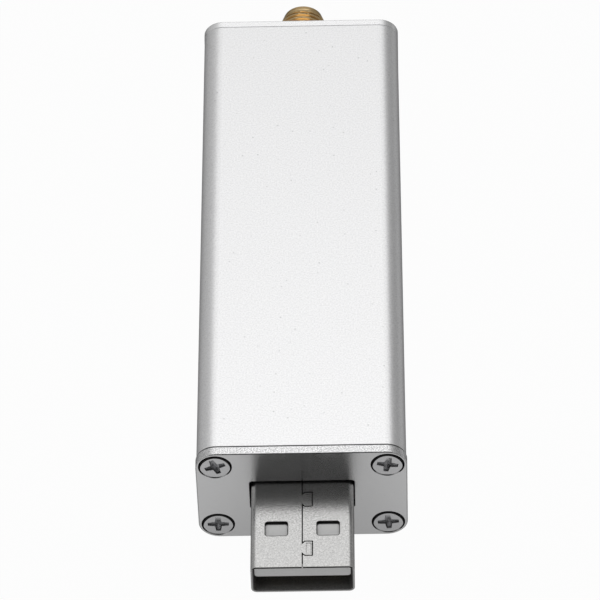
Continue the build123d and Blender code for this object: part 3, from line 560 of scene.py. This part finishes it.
# Painted shade on the cut edges and inside; the mouth's face below its top edge is left
# undarkened, as painted light.
inside = ramp(tree, depth, SHELL_INSIDE_START, SHELL_INSIDE_END)
cut = combine(tree, "SUBTRACT", ramp(tree, depth, SHELL_CUT_START, SHELL_CUT_END), inside)
at_mouth = ramp(tree, axis_from(tree, "Y", shell_low.y, 1.0), MOUTH_START, MOUTH_END, 1.0, 0.0)
below_top = ramp(tree, axis_from(tree, "Z", shell_high.z, -1.0), LIT_MOUTH_TOP_START,
                 LIT_MOUTH_TOP_END)
outer_skin = combine(tree, "LESS_THAN", depth, LIT_MOUTH_DEPTH)
lit_mouth = combine(tree, "MULTIPLY", combine(tree, "MULTIPLY", at_mouth, below_top), outer_skin)
unlit = combine(tree, "SUBTRACT", 1.0, lit_mouth)
paint_shade_where(shell_metal, combine(tree, "MULTIPLY", cut, unlit), SHELL_CUT_PAINTED_SHADE)
paint_shade_where(shell_metal, inside, SHELL_INSIDE_PAINTED_SHADE)
# Painted shade round the windows' edges.
paint_shade_where(shell_metal, combine(tree, "GREATER_THAN", depth_in_window(tree), -WINDOW_EDGE),
           WINDOW_EDGE_PAINTED_SHADE)
tree.links.new(blend(tree, inside, SHELL_ROUGHNESS, SHELL_INSIDE_ROUGHNESS),
               tree.nodes["Principled BSDF"].inputs["Roughness"])
darken_grazing(shell_metal)
finish("usb_shell", shell_metal)


def build_even_grain():
    """A faint fine grain as a group: its height, and a roughness that wavers with it."""
    group = bpy.data.node_groups.new("even_grain", "ShaderNodeTree")
    sockets = group.interface
    for name in ("Grain Scale", "Roughness"):
        sockets.new_socket(name, in_out="INPUT", socket_type="NodeSocketFloat")
    for name in ("Grain", "Roughness"):
        sockets.new_socket(name, in_out="OUTPUT", socket_type="NodeSocketFloat")
    given = group.nodes.new("NodeGroupInput")
    result = group.nodes.new("NodeGroupOutput")
    place = group.nodes.new("ShaderNodeTexCoord").outputs["Object"]

    grain = group.nodes.new("ShaderNodeTexNoise")
    grain.inputs["Detail"].default_value = EVEN_GRAIN_DETAIL
    group.links.new(place, grain.inputs["Vector"])
    group.links.new(given.outputs["Grain Scale"], grain.inputs["Scale"])
    group.links.new(grain.outputs["Fac"], result.inputs["Grain"])

    wavering = ramp(group, grain.outputs["Fac"], EVEN_GLOSS_START, EVEN_GLOSS_END,
                    1 - EVEN_GLOSS_SPREAD, 1 + EVEN_GLOSS_SPREAD)
    group.links.new(combine(group, "MULTIPLY", wavering, given.outputs["Roughness"]),
                    result.inputs["Roughness"])
    return group


even_grain = build_even_grain()


def even_finish(name, tone, metallic, roughness, grain_scale, depth):
    """A plain finish, broken up by a faint fine grain in its tone, gloss and height."""
    material = bpy.data.materials.new(name)
    material.use_nodes = True
    tree = material.node_tree
    shader = tree.nodes["Principled BSDF"]
    shader.inputs["Metallic"].default_value = metallic
    skin = tree.nodes.new("ShaderNodeGroup")
    skin.node_tree = even_grain
    skin.inputs["Grain Scale"].default_value = grain_scale
    skin.inputs["Roughness"].default_value = roughness
    colour = tree.nodes.new("ShaderNodeMix")
    colour.data_type = "RGBA"
    colour.inputs["A"].default_value = (*(EVEN_GRAIN_SHADE * part for part in tone[:3]), 1.0)
    colour.inputs["B"].default_value = tone
    tree.links.new(skin.outputs["Grain"], colour.inputs["Factor"])
    tree.links.new(colour.outputs["Result"], shader.inputs["Base Color"])
    tree.links.new(skin.outputs["Roughness"], shader.inputs["Roughness"])
    bump = tree.nodes.new("ShaderNodeBump")
    bump.inputs["Distance"].default_value = depth
    tree.links.new(skin.outputs["Grain"], bump.inputs["Height"])
    tree.links.new(bump.outputs["Normal"], shader.inputs["Normal"])
    return material


insulator = even_finish("grey_moulding", MOULDING_TONE, metallic=0.0, roughness=0.5,
                        grain_scale=4000.0, depth=0.000004)
tree = insulator.node_tree
# Painted shadow on the tongue where the shell covers it, reaching a little into the windows at
# their far edges.
past_mouth = combine(tree, "GREATER_THAN", axis_from(tree, "Y", shell_low.y, 1.0), MOUTH_LENGTH)
covered = ramp(tree, depth_in_window(tree, COVERED_SHIFT), COVERED_START, COVERED_END, 1.0, 0.0)
paint_shade_where(insulator, combine(tree, "MULTIPLY", past_mouth, covered), COVERED_PAINTED_SHADOW)
finish("usb_insulator", insulator)
contact_gold = even_finish("contact_gold", CONTACT_GOLD, metallic=1.0, roughness=0.25,
                           grain_scale=6000.0, depth=0.000002)
solder = even_finish("bright_solder", SOLDER_TONE, metallic=1.0, roughness=0.30,
                     grain_scale=3000.0, depth=0.000010)
finish("usb_power_contacts", contact_gold)
finish("usb_data_contacts", contact_gold)
finish("usb_solder_joints", solder)

# ---------------------------------------------------------------------------------------
# RF jack
# ---------------------------------------------------------------------------------------
# Turned from one brass bar and gold plated: a barrel with a rolled right-hand thread, a
# square flange behind the rear plate, and four legs soldered to the board. The thread's
# roots carry painted shade.

JACK_TONE = (0.79, 0.575, 0.31, 1.0)
ROOT_PAINTED_SHADE = 0.30
ROOT_PAINTED_SHADE_START, ROOT_PAINTED_SHADE_END = -0.1, 0.8
JACK_STEPS = 96
THREAD_PITCH = 0.0254 / 36
THREAD_DEPTH = 0.6134 * THREAD_PITCH
THREAD_RINGS_PER_TURN = 20
THREAD_ROOT_FLAT = 0.25
THREAD_CREST_FLAT = 0.125
FIRST_GROOVE_DEPTH = 0.0015
RELIEF_LENGTH = 0.0003
LEAD_LENGTH = 0.0020
CREST_RADIUS = 0.00315
TIP_RADIUS = 0.00250
RELIEF_RADIUS = 0.00275
BORE_RADIUS = 0.00230
BORE_DEPTH = 0.00193
CORE_RADIUS = 0.00205
FLANGE_SIZE = 0.00635
FLANGE_THICKNESS = 0.0016
LEG_SIZE = 0.0010
LEG_BURY = 0.0001
SHARP_EDGE = math.radians(32)
INSULATOR_TONE = (0.86, 0.86, 0.84, 1.0)

jack_low, jack_high = (Vector(corner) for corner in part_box("rf_jack_body"))
jack_x = (jack_low.x + jack_high.x) / 2
jack_z = (jack_low.z + jack_high.z) / 2
jack_tip_y = jack_high.y
rear_face_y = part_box("rear_plate")[1][1]
flange_front_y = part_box("rear_plate")[0][1]
flange_rear_y = flange_front_y - FLANGE_THICKNESS
board_low, board_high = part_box("circuit_board")


def thread_radius(angle, y):
    """The barrel's radius at an angle and a place along it: thread, cut by the lead-in."""
    behind_tip = jack_tip_y - y
    turn = (angle - math.pi / 2) / math.tau
    phase = ((behind_tip - FIRST_GROOVE_DEPTH) / THREAD_PITCH + turn) % 1.0
    off_groove = 2 * min(phase, 1.0 - phase)
    flank = (1.0 - THREAD_CREST_FLAT - off_groove) / (1.0 - THREAD_CREST_FLAT - THREAD_ROOT_FLAT)
    cut = THREAD_DEPTH * min(max(flank, 0.0), 1.0)
    taper = TIP_RADIUS + (CREST_RADIUS - TIP_RADIUS) * behind_tip / LEAD_LENGTH
    return min(CREST_RADIUS - cut, taper)


def flange_reach(angle):
    """From the axis to the square flange's edge at an angle."""
    return FLANGE_SIZE / 2 / max(abs(math.cos(angle)), abs(math.sin(angle)))


thread_start_y = rear_face_y + RELIEF_LENGTH
thread_rings = round((jack_tip_y - thread_start_y) / THREAD_PITCH * THREAD_RINGS_PER_TURN)
rings = [(flange_rear_y, lambda angle: CORE_RADIUS), (flange_rear_y, flange_reach),
         (flange_front_y, flange_reach), (flange_front_y, lambda angle: RELIEF_RADIUS),
         (thread_start_y, lambda angle: RELIEF_RADIUS)]
for ring in range(thread_rings + 1):
    ring_y = thread_start_y + (jack_tip_y - thread_start_y) * ring / thread_rings
    rings.append((ring_y, lambda angle, ring_y=ring_y: thread_radius(angle, ring_y)))
rings += [(jack_tip_y, lambda angle: BORE_RADIUS),
          (jack_tip_y - BORE_DEPTH, lambda angle: BORE_RADIUS),
          (jack_tip_y - BORE_DEPTH, lambda angle: CORE_RADIUS)]

jack_shape = bmesh.new()
ring_points = []
for ring_y, radius_at in rings:
    angles = [step * math.tau / JACK_STEPS for step in range(JACK_STEPS)]
    ring_points.append([jack_shape.verts.new((jack_x + radius_at(angle) * math.cos(angle), ring_y,
                                              jack_z + radius_at(angle) * math.sin(angle)))
                        for angle in angles])
for index, points in enumerate(ring_points):
    following = ring_points[(index + 1) % len(ring_points)]
    for step in range(JACK_STEPS):
        after = (step + 1) % JACK_STEPS
        jack_shape.faces.new((points[step], points[after], following[after], following[step]))
for side in (-1, 1):
    leg_x = jack_x + side * (FLANGE_SIZE - LEG_SIZE) / 2
    for leg_z in (board_high[2] + LEG_SIZE / 2, board_low[2] - LEG_SIZE / 2):
        low = Vector((leg_x - LEG_SIZE / 2, jack_low.y, leg_z - LEG_SIZE / 2))
        high = Vector((leg_x + LEG_SIZE / 2, flange_rear_y + LEG_BURY, leg_z + LEG_SIZE / 2))
        leg = bmesh.ops.create_cube(jack_shape, size=1.0)["verts"]
        for point in leg:
            point.co = Vector([low[axis] if point.co[axis] < 0 else high[axis]
                               for axis in range(3)])
bmesh.ops.recalc_face_normals(jack_shape, faces=jack_shape.faces)
for face in jack_shape.faces:
    face.smooth = True
for edge in jack_shape.edges:
    edge.smooth = edge.calc_face_angle(0.0) < SHARP_EDGE
jack_mesh = bpy.data.meshes.new("threaded_jack_body")
jack_shape.to_mesh(jack_mesh)
jack_shape.free()

jack_gold = even_finish("jack_gold", JACK_TONE, metallic=1.0, roughness=0.15,
                        grain_scale=5000.0, depth=0.000003)
tree = jack_gold.node_tree
# Painted shade along the thread's roots.
around = combine(tree, "ARCTAN2", axis_from(tree, "Z", jack_z, 1.0),
                 axis_from(tree, "X", jack_x, 1.0))
behind_tip = axis_from(tree, "Y", jack_tip_y, -1.0)
wound = combine(tree, "MULTIPLY",
                combine(tree, "SUBTRACT", behind_tip, FIRST_GROOVE_DEPTH + THREAD_PITCH / 4),
                math.tau / THREAD_PITCH)
in_root = ramp(tree, combine(tree, "COSINE", combine(tree, "ADD", wound, around), 0.0),
               ROOT_PAINTED_SHADE_START, ROOT_PAINTED_SHADE_END)
past_lead = combine(tree, "GREATER_THAN", behind_tip, FIRST_GROOVE_DEPTH - THREAD_PITCH / 2)
off_relief = combine(tree, "LESS_THAN", behind_tip, jack_tip_y - thread_start_y)
on_thread = combine(tree, "MULTIPLY", past_lead, off_relief)
paint_shade_where(jack_gold, combine(tree, "MULTIPLY", in_root, on_thread), ROOT_PAINTED_SHADE)
darken_grazing(jack_gold)
jack_mesh.materials.append(jack_gold)
jack_body = bpy.data.objects.new("threaded_jack_body", jack_mesh)
bpy.context.scene.collection.objects.link(jack_body)
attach(jack_body, "root")
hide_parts("rf_jack_body")

white_insulator = even_finish("white_insulator", INSULATOR_TONE, metallic=0.0, roughness=0.40,
                              grain_scale=3000.0, depth=0.000003)
finish("rf_jack_dielectric", white_insulator)
finish("rf_jack_contact", contact_gold)
finish("rf_jack_solder", solder)

# ---------------------------------------------------------------------------------------
# Circuit board and its parts
# ---------------------------------------------------------------------------------------
# A green fibreglass board slides into the sleeve's rails. Its chips are black mouldings
# with tinned leads, its filters and oscillators are plated cans, and a tinned steel can
# screens the RF stages.

for name, tone, metallic, roughness, grain_scale, depth, wearers in (
        ("solder_mask", (0.03, 0.16, 0.08, 1.0), 0.0, 0.30, 1500.0, 0.000010,
         ("circuit_board",)),
        ("tin_plate", (0.72, 0.72, 0.70, 1.0), 1.0, 0.35, 4000.0, 0.000005,
         ("shield_frame", "shield_lid", "microcontroller_leads", "log_detector_leads",
          "voltage_regulator_leads", "tantalum_capacitor_ends", "ceramic_capacitor_ends",
          "chip_resistor_ends")),
        ("chip_moulding", (0.035, 0.035, 0.038, 1.0), 0.0, 0.55, 9000.0, 0.000004,
         ("microcontroller", "log_detector", "voltage_regulators", "first_synthesizer",
          "second_synthesizer", "input_attenuator", "mixer")),
        ("can_metal", (0.76, 0.72, 0.62, 1.0), 1.0, 0.28, 3000.0, 0.000004,
         ("reference_oscillator", "clock_crystal", "first_filter", "second_filter")),
        ("ferrite", (0.09, 0.09, 0.095, 1.0), 0.0, 0.60, 5000.0, 0.000006,
         ("power_inductor",)),
        ("tantalum_resin", (0.72, 0.50, 0.10, 1.0), 0.0, 0.35, 4000.0, 0.000004,
         ("tantalum_capacitor",)),
        ("capacitor_ceramic", (0.50, 0.36, 0.22, 1.0), 0.0, 0.45, 6000.0, 0.000004,
         ("ceramic_capacitors",)),
        ("resistor_glaze", (0.05, 0.05, 0.055, 1.0), 0.0, 0.30, 6000.0, 0.000003,
         ("chip_resistors",))):
    part_finish = even_finish(name, tone, metallic, roughness, grain_scale, depth)
    for node in wearers:
        finish(node, part_finish)
